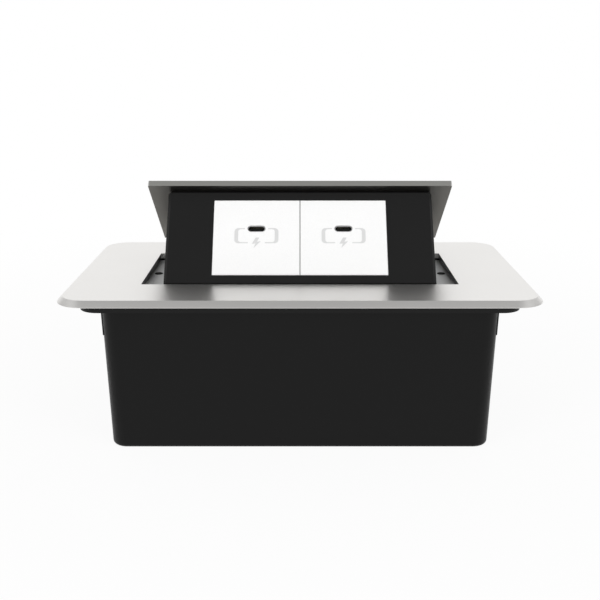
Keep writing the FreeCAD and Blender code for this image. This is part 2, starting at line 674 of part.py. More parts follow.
INLET_SEAT = tub_rear_at(INLET_UP + INLET_H / 2 + INLET_RIM)
INLET_FACE = INLET_SEAT + INLET_RIM_T


def inlet_housing():
    body = box(INLET_X - INLET_W / 2, INLET_X + INLET_W / 2, INLET_FACE - INLET_LEN, INLET_SEAT,
               INLET_UP - INLET_H / 2, INLET_UP + INLET_H / 2)
    half_w = INLET_W / 2 + INLET_RIM
    half_h = INLET_H / 2 + INLET_RIM
    rim = box(INLET_X - half_w, INLET_X + half_w, INLET_SEAT, INLET_FACE,
              INLET_UP - half_h, INLET_UP + half_h)
    rim = rim.makeFillet(INLET_RIM, edges_along(rim, V(0, 1, 0)))
    wide = INLET_CAVITY_W / 2
    tall = INLET_CAVITY_H / 2
    corners = [(-wide, tall), (wide, tall), (wide, -tall + INLET_CORNER), (wide - INLET_CORNER, -tall),
               (-wide + INLET_CORNER, -tall), (-wide, -tall + INLET_CORNER)]
    outline = [V(INLET_X + x, INLET_FACE - INLET_CAVITY_D, INLET_UP + z) for x, z in corners]
    cavity = Part.Face(Part.makePolygon(outline + outline[:1])).extrude(V(0, INLET_CAVITY_D, 0))
    return body.fuse(rim).removeSplitter().cut(cavity.fuse(inlet_blades()))


def inlet_blades():
    blades = []
    floor = INLET_FACE - INLET_CAVITY_D
    for step in (-1, 0, 1):
        x = INLET_X + step * BLADE_PITCH
        z = INLET_UP - (BLADE_EARTH_DROP if step == 0 else -BLADE_EARTH_DROP / 2)
        blades.append(box(x - BLADE_W / 2, x + BLADE_W / 2, floor - BLADE_TAIL, floor + BLADE_LEN,
                          z - BLADE_H / 2, z + BLADE_H / 2))
    return all_of(blades)


# ---------------------------------------------------------------- swinging cassette, drawn closed
def lid():
    slab = box(-LID_W / 2, LID_W / 2, LID_FRONT, LID_REAR, LID_BOTTOM, PLATE_TOP)
    slab = slab.makeFillet(LID_R, edges_along(slab, UP))
    relief = prism_x([(LID_REAR + 1, LID_BOTTOM - 1), (LID_REAR + 1, PLATE_TOP - LID_REAR_LAND),
                      (LID_REAR, PLATE_TOP - LID_REAR_LAND), (LID_REAR - LID_REAR_CHAMFER, LID_BOTTOM),
                      (LID_REAR - LID_REAR_CHAMFER, LID_BOTTOM - 1)], -LID_W, LID_W)
    holes = [rod(p, p + UP * (SCREW_HEAD_T + LID_SCREW_LEN), SCREW_R) for p in LID_SCREWS]
    return slab.cut(all_of([relief] + holes))


def lid_screws():
    return all_of([screw(p, UP, LID_SCREW_LEN, True) for p in LID_SCREWS])


def peg_places():
    inset = CASE_WALL + PEG_BOSS_R - PEG_BOSS_BITE
    x = CASE_W / 2 - inset
    return [(side * x, z) for side in (-1, 1) for z in (CASE_TOP - inset, CASE_BOTTOM + inset)]


def cassette_shell():
    block = box(-CASE_W / 2, CASE_W / 2, SHELL_FRONT, CASE_REAR_Y, CASE_BOTTOM, CASE_TOP)
    block = block.makeFillet(CASE_R, edges_along(block, V(0, 1, 0)))
    room = box(-CASE_W / 2 + CASE_WALL, CASE_W / 2 - CASE_WALL, SHELL_FRONT, CASE_REAR_Y - CASE_WALL,
               CASE_BOTTOM + CASE_WALL, CASE_TOP - CASE_WALL)
    shell = block.cut(room)
    bosses = [rod_y(x, SHELL_FRONT, SHELL_FRONT + PEG_BOSS_LEN, z, PEG_BOSS_R) for x, z in peg_places()]
    shell = shell.multiFuse(bosses).removeSplitter()
    cuts = [rod_y(x, SHELL_FRONT, SHELL_FRONT + PEG_LEN, z, PEG_R) for x, z in peg_places()]
    cuts += [screw_hole(p, UP, CASE_WALL, True) for p in LID_SCREWS]
    cuts += [rod(p, p + FORWARD * (SCREW_HEAD_T + ARM_SCREW_LEN), SCREW_R) for p in ARM_SCREWS]
    cuts.append(rod_y(GROMMET_X, CASE_REAR_Y - CASE_WALL, CASE_REAR_Y, PLATE_TOP - GROMMET_DEPTH, GROMMET_R))
    return shell.cut(all_of(cuts))


def bezel_frame():
    block = box(-CASE_W / 2, CASE_W / 2, CASE_FRONT, SHELL_FRONT, CASE_BOTTOM, CASE_TOP)
    block = block.makeFillet(CASE_R, edges_along(block, V(0, 1, 0)))
    foot = edges_along(block, X_AXIS, lambda c: c.z < CASE_BOTTOM + 0.1 and c.y < CASE_FRONT + 0.1)
    block = block.makeChamfer(CASE_FOOT_R, foot)
    window = box(-MODULE_W, MODULE_W, CASE_FRONT, SHELL_FRONT, WINDOW_BOTTOM, WINDOW_TOP)
    pegs = [rod_y(x, SHELL_FRONT, SHELL_FRONT + PEG_LEN, z, PEG_R) for x, z in peg_places()]
    return block.cut(window).multiFuse(pegs)


def arm_profile():
    top = PLATE_TOP - ARM_ROOT_TOP
    bottom = PLATE_TOP - ARM_ROOT_BOTTOM
    edge = PIVOT_Z + ARM_EDGE_UP
    return [(CASE_REAR_Y, bottom), (CASE_REAR_Y, top), (CASE_REAR_Y + FOOT_T, top),
            (PIVOT_Y - ARM_EDGE_LEN, edge), (PIVOT_Y, edge), (PIVOT_Y, PIVOT_Z - ARM_BOSS_R),
            (CASE_REAR_Y + FOOT_T, bottom)]


def arm(inner, eye_hole):
    """Arm with its plate from inner outwards and its screwed foot on the inner side."""
    side = 1 if inner > 0 else -1
    outer = inner + side * ARM_T
    plate = prism_x(arm_profile(), inner, outer)
    eye = rod_x(inner, outer, PIVOT_Y, PIVOT_Z, ARM_BOSS_R)
    foot = box(inner, inner - side * FOOT_W, CASE_REAR_Y, CASE_REAR_Y + FOOT_T,
               PLATE_TOP - ARM_ROOT_BOTTOM, PLATE_TOP - ARM_ROOT_TOP)
    holes = [screw_hole(p, FORWARD, FOOT_T, False) for p in arm_screw_heads(inner)]
    return plate.multiFuse([eye, foot]).removeSplitter().cut(all_of(holes + [eye_hole]))


def hinge_arm(side):
    ends = (side * ARM_IN, side * (ARM_IN + ARM_T))
    return arm(side * ARM_IN, rod_x(*ends, PIVOT_Y, PIVOT_Z, PIN_R + RUN_FIT + BUSH_WALL))


def hinge_bush(side):
    ends = (side * ARM_IN, side * (ARM_IN + ARM_T))
    tube = rod_x(*ends, PIVOT_Y, PIVOT_Z, PIN_R + RUN_FIT + BUSH_WALL)
    return tube.cut(rod_x(*ends, PIVOT_Y, PIVOT_Z, PIN_R + RUN_FIT))


def damper_key():
    half = DAMPER_KEY / 2
    return box(DAMPER_ARM_IN, DAMPER_ARM_IN + ARM_T, PIVOT_Y - half, PIVOT_Y + half,
               PIVOT_Z - half, PIVOT_Z + half)


def damper_arm():
    return arm(DAMPER_ARM_IN, damper_key())


def damper_shaft():
    start = DAMPER_ARM_IN + ARM_T
    end = DAMPER_X + DAMPER_LEN - DAMPER_END - DAMPER_SHAFT_GAP
    return rod_x(start, end, PIVOT_Y, PIVOT_Z, PIN_R).fuse(damper_key())


def arm_screws():
    return all_of([screw(p, FORWARD, ARM_SCREW_LEN, False) for p in ARM_SCREWS])


def striker():
    block = box(-STRIKER_W / 2, STRIKER_W / 2, LATCH_Y - STRIKER_D / 2, LATCH_Y + STRIKER_D / 2,
                STRIKER_TIP, CASE_BOTTOM)
    return block.makeFillet(STRIKER_R, edges_along(block, X_AXIS, lambda c: c.z < STRIKER_TIP + 0.1))


def lead_grommet():
    z = PLATE_TOP - GROMMET_DEPTH
    wall_in = CASE_REAR_Y - CASE_WALL
    neck = rod_y(GROMMET_X, wall_in, CASE_REAR_Y, z, GROMMET_R)
    rims = [rod_y(GROMMET_X, wall_in - GROMMET_RIM_T, wall_in, z, GROMMET_R + GROMMET_RIM),
            rod_y(GROMMET_X, CASE_REAR_Y, CASE_REAR_Y + GROMMET_RIM_T, z, GROMMET_R + GROMMET_RIM)]
    bore = rod_y(GROMMET_X, wall_in - GROMMET_RIM_T, CASE_REAR_Y + GROMMET_RIM_T, z, GROMMET_BORE_R)
    return neck.multiFuse(rims).removeSplitter().cut(bore)


# ---------------------------------------------------------------- USB-C module, one each side
def module_x(side):
    return side * MODULE_W / 2


def module_cover(side):
    x = module_x(side)
    half = MODULE_W / 2 - MODULE_FIT
    cover = box(x - half, x + half, CASE_FRONT, COVER_BACK,
                WINDOW_BOTTOM + MODULE_FIT, WINDOW_TOP - MODULE_FIT)
    cover = cover.makeFillet(COVER_R, edges_along(cover, V(0, 1, 0)))
    rim = [e for e in cover.Edges if e.BoundBox.YMax < CASE_FRONT + 1e-3]
    cover = cover.makeChamfer(COVER_EDGE, rim)
    return cover.cut(slot_y(PORT_HOLE_W, PORT_HOLE_H, x, CASE_FRONT, COVER_BACK, PORT_Z))


def module_body(side):
    x = module_x(side)
    half = MODULE_W / 2 - MODULE_INSET
    low = WINDOW_BOTTOM + MODULE_INSET
    high = WINDOW_TOP - MODULE_INSET
    block = box(x - half, x + half, COVER_BACK, BODY_BACK, low, high)
    room = box(x - half + MODULE_WALL, x + half - MODULE_WALL, COVER_BACK, BODY_BACK - MODULE_WALL,
               low + MODULE_WALL, high - MODULE_WALL)
    rail_top = BOARD_TOP - BOARD_T
    rails = [box(x + end * (half - MODULE_WALL), x + end * (half - MODULE_WALL - RAIL_W), COVER_BACK,
                 BODY_BACK - MODULE_WALL, rail_top - MODULE_WALL, rail_top) for end in (-1, 1)]
    return block.cut(room).multiFuse(rails).removeSplitter()


def usb_shell(side):
    x = module_x(side)
    front = CASE_FRONT + USB_RECESS
    tube = slot_y(USB_W, USB_H, x, front, front + USB_LEN, PORT_Z)
    inside = slot_y(USB_W - 2 * USB_WALL, USB_H - 2 * USB_WALL, x, front, front + USB_LEN, PORT_Z)
    return tube.cut(inside)


def usb_tongue(side):
    x = module_x(side)
    back = CASE_FRONT + USB_RECESS + USB_LEN
    base = slot_y(USB_W - 2 * USB_WALL, USB_H - 2 * USB_WALL, x, back - TONGUE_BASE, back, PORT_Z)
    blade = box(x - TONGUE_W / 2, x + TONGUE_W / 2, back - TONGUE_BASE - TONGUE_LEN, back - TONGUE_BASE,
                PORT_Z - TONGUE_T / 2, PORT_Z + TONGUE_T / 2)
    return base.fuse(blade).removeSplitter()


def module_board(side):
    x = module_x(side)
    half = MODULE_W / 2 - MODULE_INSET - MODULE_WALL - BOARD_MARGIN / 2
    return box(x - half, x + half, COVER_BACK + BOARD_MARGIN, BODY_BACK - MODULE_WALL - BOARD_MARGIN,
               BOARD_TOP - BOARD_T, BOARD_TOP)


def module_transformer(side):
    x = module_x(side)
    width, depth, height = TRANSFORMER
    y = BODY_BACK - MODULE_WALL - BOARD_MARGIN - depth - PART_GAP
    core = box(x - width / 2, x + width / 2, y, y + depth, BOARD_TOP, BOARD_TOP + height)
    return core.makeFillet(TRANSFORMER_R, edges_along(core, UP))


def module_capacitors(side):
    x = module_x(side)
    y = BODY_BACK - MODULE_WALL - BOARD_MARGIN - TRANSFORMER[1] / 2 - PART_GAP
    reach = TRANSFORMER[0] / 2 + CAPACITOR_R + PART_GAP
    return all_of([rod_z(x + end * reach, y, BOARD_TOP, BOARD_TOP + CAPACITOR_H, CAPACITOR_R)
                   for end in (-1, 1)])


def module_terminals(side):
    x = module_x(side)
    width, depth, height = TERMINAL
    top = BOARD_TOP - BOARD_T
    block = box(x - width / 2, x + width / 2, BODY_BACK, BODY_BACK + depth, top - height, top)
    back = BODY_BACK + depth
    holes = [rod_y(x + step * TERMINAL_PITCH, back - TERMINAL_HOLE_D, back, top - height / 2,
                   TERMINAL_HOLE_R) for step in (-1, 0, 1)]
    return block.cut(all_of(holes))


# ---------------------------------------------------------------- build and export
HOUSING = [faceplate, mounting_frame, faceplate_studs, stud_nuts, ledge_screws, tub, tub_screws,
           bracket_screws, damper_barrel, damper_screws, latch_body, latch_spring, latch_screws,
           latch_plunger, inlet_housing, inlet_blades]
HOUSING_PAIRS = [side_ledge, hinge_bracket, hinge_pin, stop_pin, stop_sleeve, torsion_spring]
CASSETTE = [lid, lid_screws, cassette_shell, bezel_frame, damper_arm, damper_shaft, arm_screws,
            striker, lead_grommet]
CASSETTE_PAIRS = [hinge_arm, hinge_bush, module_cover, module_body, usb_shell, usb_tongue,
                  module_board, module_transformer, module_capacitors, module_terminals]


def build():
    nodes = {make.__name__: make() for make in HOUSING}
    nodes.update({make.__name__: tilted(make()) for make in CASSETTE})
    for name, side in SIDES.items():
        nodes.update({f"{make.__name__}_{name}": make(side) for make in HOUSING_PAIRS})
        nodes.update({f"{make.__name__}_{name}": tilted(make(side)) for make in CASSETTE_PAIRS})
    return nodes


def main():
    os.makedirs("parts", exist_ok=True)
    for name, shape in build().items():
        shape.exportStep(f"parts/{name}.step")
        state = "ok" if shape.isValid() else "NOT VALID"
        print(f"{name:28s} {state:10s} solids {len(shape.Solids):2d} volume {shape.Volume:10.1f}")


main()
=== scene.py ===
"""Tilt-up desk power box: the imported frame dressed, lit and framed.

Positions are in metres in the row frame: origin under the middle of the tub, +Y to the rear (hinge side).
"""
import json
import math

import bpy
from mathutils import Matrix, Vector


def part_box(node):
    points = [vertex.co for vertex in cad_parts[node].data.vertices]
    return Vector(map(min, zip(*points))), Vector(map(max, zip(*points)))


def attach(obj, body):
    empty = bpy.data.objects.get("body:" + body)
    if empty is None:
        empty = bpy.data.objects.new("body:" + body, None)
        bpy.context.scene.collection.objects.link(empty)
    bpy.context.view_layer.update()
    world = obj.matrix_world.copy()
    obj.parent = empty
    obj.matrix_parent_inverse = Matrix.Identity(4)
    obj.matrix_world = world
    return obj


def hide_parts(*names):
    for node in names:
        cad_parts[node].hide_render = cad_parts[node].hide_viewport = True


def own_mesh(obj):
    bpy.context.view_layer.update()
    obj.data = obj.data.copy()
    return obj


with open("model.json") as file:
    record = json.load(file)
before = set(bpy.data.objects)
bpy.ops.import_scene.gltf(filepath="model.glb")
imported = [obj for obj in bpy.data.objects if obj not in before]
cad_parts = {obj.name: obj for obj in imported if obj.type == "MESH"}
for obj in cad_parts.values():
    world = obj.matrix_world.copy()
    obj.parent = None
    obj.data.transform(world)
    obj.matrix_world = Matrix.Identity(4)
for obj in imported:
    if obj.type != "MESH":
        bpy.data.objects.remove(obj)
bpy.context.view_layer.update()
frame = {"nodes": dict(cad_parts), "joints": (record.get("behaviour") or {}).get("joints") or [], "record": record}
NODES = frame["nodes"]
MM = 0.001
SIDES = {"left": -1, "right": 1}


# ---------------------------------------------------------------- places taken from the frame
def corners(node):
    low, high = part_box(node)
    return Vector(low), Vector(high)


def joint(name):
    return next(j for j in frame["joints"] if j["name"] == name)


TILT = joint("cassette_tilt")
PIVOT = Vector(TILT["pos_m"])
TILT_ANGLE = math.radians(max(TILT["range_deg"]))
PLATE_TOP = corners("faceplate")[1].z


def closed_to_open():
    """Moves a point of the closed cassette to where it stands at rest."""
    return Matrix.Translation(PIVOT) @ Matrix.Rotation(-TILT_ANGLE, 4, "X") @ Matrix.Translation(-PIVOT)


# ---------------------------------------------------------------- node-based materials
NOISE_SPAN = (0.3, 0.7)         # nearly all values of a noise texture lie between these


class Surface:
    """A Principled material with small helpers for procedural detail in object space."""

    def __init__(self, name, color, roughness, metallic=0.0, **values):
        self.material = bpy.data.materials.new(name)
        self.material.use_nodes = True
        self.tree = self.material.node_tree
        self.bsdf = self.tree.nodes["Principled BSDF"]
        self.color = color
        self.roughness = roughness
        self.place = self.node("ShaderNodeTexCoord").outputs["Object"]
        self.set(**{"Base Color": (*color, 1.0), "Roughness": roughness, "Metallic": metallic})
        self.set(**{key.replace("_", " "): value for key, value in values.items()})

    def node(self, kind, **settings):
        made = self.tree.nodes.new(kind)
        for key, value in settings.items():
            setattr(made, key, value)
        return made

    def link(self, source, target):
        self.tree.links.new(source, target)

    def set(self, **values):
        for key, value in values.items():
            self.bsdf.inputs[key].default_value = value

    def noise(self, size, detail=2.0, stretch=(1, 1, 1)):
        """Noise whose features are about size metres across."""
        mapping = self.node("ShaderNodeMapping")
        mapping.inputs["Scale"].default_value = stretch
        self.link(self.place, mapping.inputs["Vector"])
        noise = self.node("ShaderNodeTexNoise")
        noise.inputs["Scale"].default_value = 1.0 / size
        noise.inputs["Detail"].default_value = detail
        self.link(mapping.outputs["Vector"], noise.inputs["Vector"])
        return noise.outputs["Fac"]

    def ranged(self, source, low, high):
        """A noise spread from low to high."""
        spread = self.node("ShaderNodeMapRange")
        spread.inputs["From Min"].default_value, spread.inputs["From Max"].default_value = NOISE_SPAN
        spread.inputs["To Min"].default_value = low
        spread.inputs["To Max"].default_value = high
        self.link(source, spread.inputs["Value"])
        return spread.outputs["Result"]

    def vary_color(self, source, amount):
        """Base colour drifts by +-amount of itself."""
        mix = self.node("ShaderNodeMix", data_type="RGBA")
        darker = [c * (1 - amount) for c in self.color]
        lighter = [min(1.0, c * (1 + amount)) for c in self.color]
        mix.inputs["A"].default_value = (*darker, 1.0)
        mix.inputs["B"].default_value = (*lighter, 1.0)
        self.link(source, mix.inputs["Factor"])
        self.link(mix.outputs["Result"], self.bsdf.inputs["Base Color"])

    def vary_roughness(self, source, amount):
        self.link(self.ranged(source, self.roughness - amount, self.roughness + amount),
                  self.bsdf.inputs["Roughness"])

    def bump(self, source, height, strength=1.0):
        bump = self.node("ShaderNodeBump")
        bump.inputs["Strength"].default_value = strength
        bump.inputs["Distance"].default_value = height
        self.link(source, bump.inputs["Height"])
        self.link(bump.outputs["Normal"], self.bsdf.inputs["Normal"])


def satin_metal(name, color, roughness, grain=0.2 * MM):
    """Fine blasted and anodised aluminium."""
    surface = Surface(name, color, roughness, metallic=1.0)
    fine = surface.noise(grain, detail=3)
    surface.vary_color(surface.noise(30 * MM), amount=0.015)
    surface.vary_roughness(fine, amount=0.03)
    surface.bump(fine, height=0.002 * MM, strength=0.25)
    return surface


def painted_shade_facing(surface, direction, both_ways, color, lean_range=(0.94, 0.98)):
    """Painted shade: faces that look along a direction of the object, as it rests, take a darker colour.

    lean_range is the cosine of their lean at which the colour begins and is full."""
    source = next(link.from_socket for link in surface.tree.links
                  if link.to_socket == surface.bsdf.inputs["Base Color"])
    lean = surface.node("ShaderNodeVectorMath", operation="DOT_PRODUCT")
    surface.link(surface.place.node.outputs["Normal"], lean.inputs[0])
    lean.inputs[1].default_value = direction
    amount = lean.outputs["Value"]
    if both_ways:
        size = surface.node("ShaderNodeMath", operation="ABSOLUTE")
        surface.link(amount, size.inputs[0])
        amount = size.outputs[0]
    mask = surface.node("ShaderNodeMapRange")
    mask.inputs["From Min"].default_value, mask.inputs["From Max"].default_value = lean_range
    surface.link(amount, mask.inputs["Value"])
    mix = surface.node("ShaderNodeMix", data_type="RGBA")
    surface.link(mask.outputs["Result"], mix.inputs["Factor"])
    surface.link(source, mix.inputs["A"])
    mix.inputs["B"].default_value = (*color, 1.0)
    surface.link(mix.outputs["Result"], surface.bsdf.inputs["Base Color"])


def moulded(name, color, roughness, texture=0.4 * MM, height=0.008 * MM, drift=0.06, **values):
    """Injection-moulded plastic with an eroded texture."""
    surface = Surface(name, color, roughness, **values)
    fine = surface.noise(texture, detail=3)
    surface.vary_color(surface.noise(18 * MM, detail=4), amount=drift)
    surface.vary_roughness(fine, amount=0.05)
    surface.bump(fine, height, strength=0.5)
    return surface


def drawn_metal(name, color, roughness, stretch=(1, 1, 12)):
    """Rolled, turned or plated metal with faint lines."""
    surface = Surface(name, color, roughness, metallic=1.0)
    lines = surface.noise(0.5 * MM, detail=3, stretch=stretch)
    surface.vary_color(surface.noise(4 * MM, detail=3), amount=0.08)
    surface.vary_roughness(lines, amount=0.06)
    surface.bump(lines, height=0.004 * MM, strength=0.5)
    return surface


def circuit_board(name, mask, copper, track_pitch=6 * MM, track_share=0.06):
    """Solder mask over a faint grid of tracks."""
    surface = Surface(name, mask, 0.35)
    tracks = surface.node("ShaderNodeTexBrick")
    tracks.inputs["Scale"].default_value = 1.0 / track_pitch
    tracks.inputs["Mortar Size"].default_value = track_share
    tracks.inputs["Color1"].default_value = (*mask, 1)
    tracks.inputs["Color2"].default_value = (*[c * 1.2 for c in mask], 1)
    tracks.inputs["Mortar"].default_value = (*copper, 1)
    surface.link(surface.place, tracks.inputs["Vector"])
    surface.link(tracks.outputs["Color"], surface.bsdf.inputs["Base Color"])
    surface.vary_roughness(surface.noise(1 * MM), amount=0.05)
    return surface


SATIN = (0.862, 0.85, 0.831)                # blasted faces of the plate and the lid
SATIN_ROUGHNESS = 0.35
OPENING_WALL_SHADE = (0.03, 0.03, 0.03)               # painted shade on the plate's sideways faces at the ends of its opening, which look onto the black cassette
LID_UNDERSIDE_SHADE = (0.33, 0.322, 0.305)        # painted shade on the back of the lid, which faces down as it rests
LID_EDGE_SHADE = (0.52, 0.517, 0.49)              # painted shade on its front edge
COVER_GAP_SHADE = (0.45, 0.45, 0.45)             # painted shade on the sides of the module covers and their eased edges, seen only in the gap between them


def make_materials():
    """Every finish by its slot's name, with painted shade on the plate's opening walls, the lid's underside and
    front edge, and the sides of the module covers.
    """
    matt = {"Specular_IOR_Level": 0.16}
    opened = closed_to_open().to_3x3()
    plate = satin_metal("satin_plate", SATIN, SATIN_ROUGHNESS)
    # painted shade: the plate's faces that look sideways, at the ends of its opening, are darkened
    painted_shade_facing(plate, (1, 0, 0), True, OPENING_WALL_SHADE)
    lid = satin_metal("satin_lid_painted_shade", SATIN, SATIN_ROUGHNESS)
    # painted shade on the lid's underside
    painted_shade_facing(lid, opened @ Vector((0, 0, -1)), False, LID_UNDERSIDE_SHADE)
    # painted shade on the lid's front edge
    painted_shade_facing(lid, opened @ Vector((0, -1, 0)), False, LID_EDGE_SHADE)
    white = moulded("module_white", (0.955, 0.955, 0.952), 0.28, texture=0.3 * MM, height=0.003 * MM,
                    drift=0.01)
    # painted shade in the gap between the module covers
    painted_shade_facing(white, (1, 0, 0), True, COVER_GAP_SHADE, lean_range=(0.35, 0.65))
    surfaces = {
        "satin_plate": plate,
        "satin_lid_painted_shade": lid,
        "frame_plastic": moulded("frame_plastic", (0.008, 0.008, 0.008), 0.40, **matt),
        "ledge_grey": moulded("ledge_grey", (0.62, 0.625, 0.62), 0.5, drift=0.04),
        "tub_plastic": moulded("tub_plastic", (0.0035, 0.0035, 0.0035), 0.36, **matt),
        "case_plastic": moulded("case_plastic", (0.011, 0.011, 0.011), 0.42, texture=0.25 * MM, **matt),
        "module_white": white,
        "module_grey": moulded("module_grey", (0.62, 0.63, 0.64), 0.45, drift=0.03),
        "bright_steel": drawn_metal("bright_steel", (0.70, 0.70, 0.71), 0.25),
        "screw_zinc": drawn_metal("screw_zinc", (0.62, 0.63, 0.65), 0.32),
        "bracket_steel": drawn_metal("bracket_steel", (0.50, 0.51, 0.53), 0.38, (1, 12, 1)),
        "spring_steel": drawn_metal("spring_steel", (0.42, 0.43, 0.45), 0.30),
        "bush_plastic": moulded("bush_plastic", (0.72, 0.69, 0.60), 0.45),
        "stop_rubber": moulded("stop_rubber", (0.015, 0.015, 0.015), 0.75, **matt),
        "damper_plastic": moulded("damper_plastic", (0.05, 0.05, 0.055), 0.45),
        "latch_plastic": moulded("latch_plastic", (0.08, 0.08, 0.085), 0.45),
        "inlet_plastic": moulded("inlet_plastic", (0.012, 0.012, 0.012), 0.35, **matt),
        "contact_brass": drawn_metal("contact_brass", (0.72, 0.66, 0.50), 0.28),
        "usb_steel": drawn_metal("usb_steel", (0.72, 0.72, 0.725), 0.30, (1, 8, 1)),
        "usb_tongue": moulded("usb_tongue", (0.01, 0.01, 0.01), 0.45, **matt),
        "board_green": circuit_board("board_green", (0.03, 0.14, 0.07), (0.30, 0.22, 0.08)),
        "transformer_amber": moulded("transformer_amber", (0.50, 0.34, 0.06), 0.35, drift=0.15),
        "capacitor_sleeve": moulded("capacitor_sleeve", (0.02, 0.03, 0.08), 0.25),
        "terminal_plastic": moulded("terminal_plastic", (0.10, 0.26, 0.18), 0.4),
        "mark_grey": moulded("mark_grey", (0.70, 0.70, 0.70), 0.5, drift=0.02),
    }
    return {name: surface.material for name, surface in surfaces.items()}


MATERIALS = make_materials()
SLOT_OF = {entry["node"]: entry["material_slot"] for entry in frame["record"]["subparts"]}


def paint(piece, slot):
    piece.data.materials.clear()
    piece.data.materials.append(MATERIALS[slot])


# ---------------------------------------------------------------- CAD nodes: materials and eased edges
WELD_WITHIN = 0.002 * MM
EASE_FROM_DEG = 25              # edges that turn by more than this are eased
CRISP_FROM_DEG = 40             # and what still turns by more than this is shaded crisp
DEFAULT_EASE = 0.10             # width of the easing, in millimetres
EDGE_EASE = {"mounting_frame": 0.5, "tub": 0.3, "cassette_shell": 0.25, "bezel_frame": 0.2,
             "inlet_housing": 0.25, "lid": 0.2, "faceplate": 0.2, "stud_nuts": 0.05, "lead_grommet": 0.05}
# wires too thin to ease, and meshes whose long triangles beside a hole would break up
LEFT_AS_THEY_ARE = ("torsion_spring_left", "torsion_spring_right", "latch_spring", "side_ledge_left",
                    "side_ledge_right", "hinge_arm_left", "hinge_arm_right")
PAINTED_SHADE_MATERIAL = {"lid": "satin_lid_painted_shade"}   # nodes with a material of their own instead of their slot's: the lid, with painted shade on its underside and front edge


def make_sharp_by_angle(degrees):
    """Geometry nodes that keep an edge crisp where the faces still turn by more than this."""
    group = bpy.data.node_groups.new("sharp_by_angle", "GeometryNodeTree")
    group.interface.new_socket("Geometry", in_out="INPUT", socket_type="NodeSocketGeometry")
    group.interface.new_socket("Geometry", in_out="OUTPUT", socket_type="NodeSocketGeometry")
    source, target = group.nodes.new("NodeGroupInput"), group.nodes.new("NodeGroupOutput")
    turn = group.nodes.new("GeometryNodeInputMeshEdgeAngle")
    steep = group.nodes.new("FunctionNodeCompare")
    steep.operation = "GREATER_THAN"
    steep.inputs["B"].default_value = math.radians(degrees)
    group.links.new(turn.outputs["Unsigned Angle"], steep.inputs["A"])
    shade = group.nodes.new("GeometryNodeSetShadeSmooth")
    shade.domain = "EDGE"
    shade.inputs["Shade Smooth"].default_value = False
    group.links.new(source.outputs[0], shade.inputs["Geometry"])
    group.links.new(steep.outputs["Result"], shade.inputs["Selection"])
    group.links.new(shade.outputs["Geometry"], target.inputs[0])
    return group


def ease_edges(piece, width, shading, segments=2):
    """Small rounding on every real edge, with even shading."""
    for name in ("custom_normal", "sharp_edge", "sharp_face"):
        stored = piece.data.attributes.get(name)
        if stored:
            piece.data.attributes.remove(stored)
    weld = piece.modifiers.new("weld", "WELD")
    weld.merge_threshold = WELD_WITHIN
    bevel = piece.modifiers.new("eased_edges", "BEVEL")
    bevel.width = width
    bevel.segments = segments
    bevel.limit_method = "ANGLE"
    bevel.angle_limit = math.radians(EASE_FROM_DEG)
    bevel.use_clamp_overlap = True
    piece.modifiers.new("crisp_where_steep", "NODES").node_group = shading
    even = piece.modifiers.new("even_shading", "WEIGHTED_NORMAL")
    even.keep_sharp = True
    even.weight = 100


def dress_nodes():
    shading = make_sharp_by_angle(CRISP_FROM_DEG)
    for name, piece in NODES.items():
        paint(piece, PAINTED_SHADE_MATERIAL.get(name, SLOT_OF[name]))
        if name not in LEFT_AS_THEY_ARE:
            ease_edges(piece, EDGE_EASE.get(name, DEFAULT_EASE) * MM, shading)


dress_nodes()


# ---------------------------------------------------------------- markings on the module faces
def mount(name):
    return next(m for m in frame["record"]["mounts"] if m["name"] == name)


def on_face(port):
    """Matrix from millimetres right, up and out of a module's face, about its port, to the row frame."""
    out = Vector(port["axis"])
    right = Vector((1, 0, 0))
    up = out.cross(right)
    turn = Matrix((right, up, out)).transposed().to_4x4()
    return Matrix.Translation(port["pos_m"]) @ turn @ Matrix.Scale(MM, 4)


def prism(outline, low, high):
    """Vertices and faces of an outline, given anticlockwise, extruded from low to high."""
    count = len(outline)
    points = [(x, y, low) for x, y in outline] + [(x, y, high) for x, y in outline]
    walls = [(i, (i + 1) % count, count + (i + 1) % count, count + i) for i in range(count)]
    return points, [tuple(reversed(range(count))), tuple(range(count, 2 * count))] + walls


def arc(center_x, center_y, radius, start, end, steps=8):
    """Points along an arc, angles in degrees."""
    angles = [math.radians(start + (end - start) * i / steps) for i in range(steps + 1)]
    return [(center_x + radius * math.cos(a), center_y + radius * math.sin(a)) for a in angles]


def build_piece(name, solids, matrix, slot, body, finish=None):
    """One mesh object from several closed solids, placed, painted and riding on a body."""
    mesh = bpy.data.meshes.new(name)
    points, faces = [], []
    for solid_points, solid_faces in solids:
        faces += [tuple(len(points) + i for i in face) for face in solid_faces]
        points += solid_points
    mesh.from_pydata([matrix @ Vector(p) for p in points], [], faces)
    mesh.validate()
    piece = bpy.data.objects.new(name, mesh)
    bpy.context.scene.collection.objects.link(piece)
    mesh.materials.append(MATERIALS[finish or slot])
    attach(piece, body)
    return piece


MARK_HALF_W = 11.35             # outer half width of the bracket round the port
MARK_BAR = 1.9                  # its side bars
MARK_LINE = 0.55                # its thin top and bottom lines
MARK_TOP_GAP = 6.0              # half the gap left for the port
MARK_FOOT_GAP = 4.4             # half the gap left for the bolt
MARK_DROP = 8.0                 # height of the bracket
MARK_R = 2.0
MARK_SUNK = 0.05
MARK_PROUD = 0.12
BOLT = [(-0.35, 2.9), (-2.2, -0.55), (-0.35, -0.35), (-1.35, -2.9), (2.2, 0.75), (0.35, 0.55), (1.5, 2.9)]


